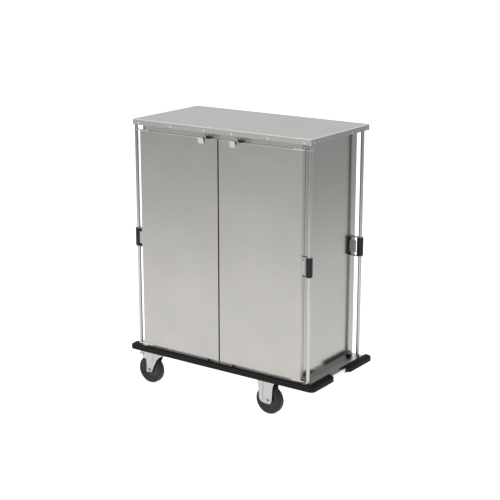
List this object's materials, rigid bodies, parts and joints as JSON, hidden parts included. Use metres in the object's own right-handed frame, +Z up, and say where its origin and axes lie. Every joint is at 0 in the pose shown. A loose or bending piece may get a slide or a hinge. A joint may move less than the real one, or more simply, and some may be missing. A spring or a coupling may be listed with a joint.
{
  "type": "housekeeping cart",
  "caption": "Closed stainless housekeeping cart with two hinged doors, shelves inside, push rods at the corners, a rubber bumper round the base, and swivel and fixed casters.",
  "frame": {"origin": "on the floor, under the middle of the outline of the bumper", "axes": "+X along the cart from the swivel casters to the fixed casters, +Y from the doors to the back, +Z up"},
  "size_m": [1.25, 0.632, 1.544],
  "materials": {
    "satin_steel": "satin",
    "polished_steel": "polished",
    "zinc_steel": "bright",
    "black_rubber": "matte",
    "tyre_rubber": "matte",
    "wheel_plastic": "satin",
    "black_plastic": "satin"
  },
  "bodies": {
    "chassis": {"base_tray": "satin_steel", "cross_channels": "satin_steel", "bumper_front": "black_rubber", "bumper_rear": "black_rubber", "cabinet_floor": "satin_steel", "side_wall_left": "satin_steel", "side_wall_right": "satin_steel", "liner_left": "satin_steel", "liner_right": "satin_steel", "back_panel": "satin_steel", "top_rail": "satin_steel", "cabinet_roof": "satin_steel", "cover": "satin_steel", "cover_rivets": "zinc_steel", "shelf_1": "satin_steel", "shelf_2": "satin_steel", "shelf_3": "satin_steel", "shelf_supports": "satin_steel", "front_rods": "polished_steel", "rear_rods": "polished_steel", "rod_feet": "satin_steel", "rear_brackets": "satin_steel", "rear_sleeves": "black_plastic", "door_buffers": "black_rubber", "wall_buffers": "black_rubber", "button_screws": "zinc_steel", "swivel_plates": "zinc_steel", "fixed_fork_front": "zinc_steel", "fixed_fork_rear": "zinc_steel", "fixed_axles": "zinc_steel"},
    "door_left": {"door_skin_left": "satin_steel", "door_liner_left": "satin_steel", "pull_tab_left": "satin_steel", "hinge_top_left": "satin_steel", "hinge_bottom_left": "satin_steel", "hinge_bracket_left": "satin_steel", "hinge_sleeve_left": "black_plastic"},
    "door_right": {"door_skin_right": "satin_steel", "door_liner_right": "satin_steel", "pull_tab_right": "satin_steel", "hinge_top_right": "satin_steel", "hinge_bottom_right": "satin_steel", "hinge_bracket_right": "satin_steel", "hinge_sleeve_right": "black_plastic"},
    "button_left": {"turn_button_left": "black_plastic"},
    "button_right": {"turn_button_right": "black_plastic"},
    "swivel_front": {"swivel_fork_front": "zinc_steel", "swivel_axle_front": "zinc_steel"},
    "swivel_rear": {"swivel_fork_rear": "zinc_steel", "swivel_axle_rear": "zinc_steel"},
    "pedal_front": {"brake_pedal_front": "black_plastic"},
    "pedal_rear": {"brake_pedal_rear": "black_plastic"},
    "wheel_left_front": {"tyre_left_front": "tyre_rubber", "hub_left_front": "wheel_plastic"},
    "wheel_left_rear": {"tyre_left_rear": "tyre_rubber", "hub_left_rear": "wheel_plastic"},
    "wheel_right_front": {"tyre_right_front": "tyre_rubber", "hub_right_front": "wheel_plastic"},
    "wheel_right_rear": {"tyre_right_rear": "tyre_rubber", "hub_right_rear": "wheel_plastic"}
  },
  "joints": [
    {"name": "door_left_hinge", "type": "hinge", "parent": "chassis", "child": "door_left", "pos_m": [-0.569, -0.277, 0.88], "axis": [0, 0, 1], "range_deg": [-266, 0]},
    {"name": "door_right_hinge", "type": "hinge", "parent": "chassis", "child": "door_right", "pos_m": [0.569, -0.277, 0.88], "axis": [0, 0, 1], "range_deg": [0, 266]},
    {"name": "button_left_turn", "type": "hinge", "parent": "chassis", "child": "button_left", "pos_m": [-0.075, -0.297, 1.492], "axis": [0, 1, 0], "range_deg": [0, 90]},
    {"name": "button_right_turn", "type": "hinge", "parent": "chassis", "child": "button_right", "pos_m": [0.133, -0.297, 1.492], "axis": [0, 1, 0], "range_deg": [0, 90]},
    {"name": "swivel_front_turn", "type": "hinge", "parent": "chassis", "child": "swivel_front", "pos_m": [-0.469, -0.248, 0.19], "axis": [0, 0, 1], "continuous": true},
    {"name": "swivel_rear_turn", "type": "hinge", "parent": "chassis", "child": "swivel_rear", "pos_m": [-0.469, 0.248, 0.19], "axis": [0, 0, 1], "continuous": true},
    {"name": "pedal_front_press", "type": "hinge", "parent": "swivel_front", "child": "pedal_front", "pos_m": [-0.555, -0.248, 0.175], "axis": [0, 1, 0], "range_deg": [-18, 0]},
    {"name": "pedal_rear_press", "type": "hinge", "parent": "swivel_rear", "child": "pedal_rear", "pos_m": [-0.555, 0.248, 0.175], "axis": [0, 1, 0], "range_deg": [-18, 0]},
    {"name": "wheel_left_front_roll", "type": "hinge", "parent": "swivel_front", "child": "wheel_left_front", "pos_m": [-0.519, -0.248, 0.08], "axis": [0, 1, 0], "continuous": true},
    {"name": "wheel_left_rear_roll", "type": "hinge", "parent": "swivel_rear", "child": "wheel_left_rear", "pos_m": [-0.519, 0.248, 0.08], "axis": [0, 1, 0], "continuous": true},
    {"name": "wheel_right_front_roll", "type": "hinge", "parent": "chassis", "child": "wheel_right_front", "pos_m": [0.309, -0.248, 0.08], "axis": [0, 1, 0], "continuous": true},
    {"name": "wheel_right_rear_roll", "type": "hinge", "parent": "chassis", "child": "wheel_right_rear", "pos_m": [0.309, 0.248, 0.08], "axis": [0, 1, 0], "continuous": true}
  ]
}
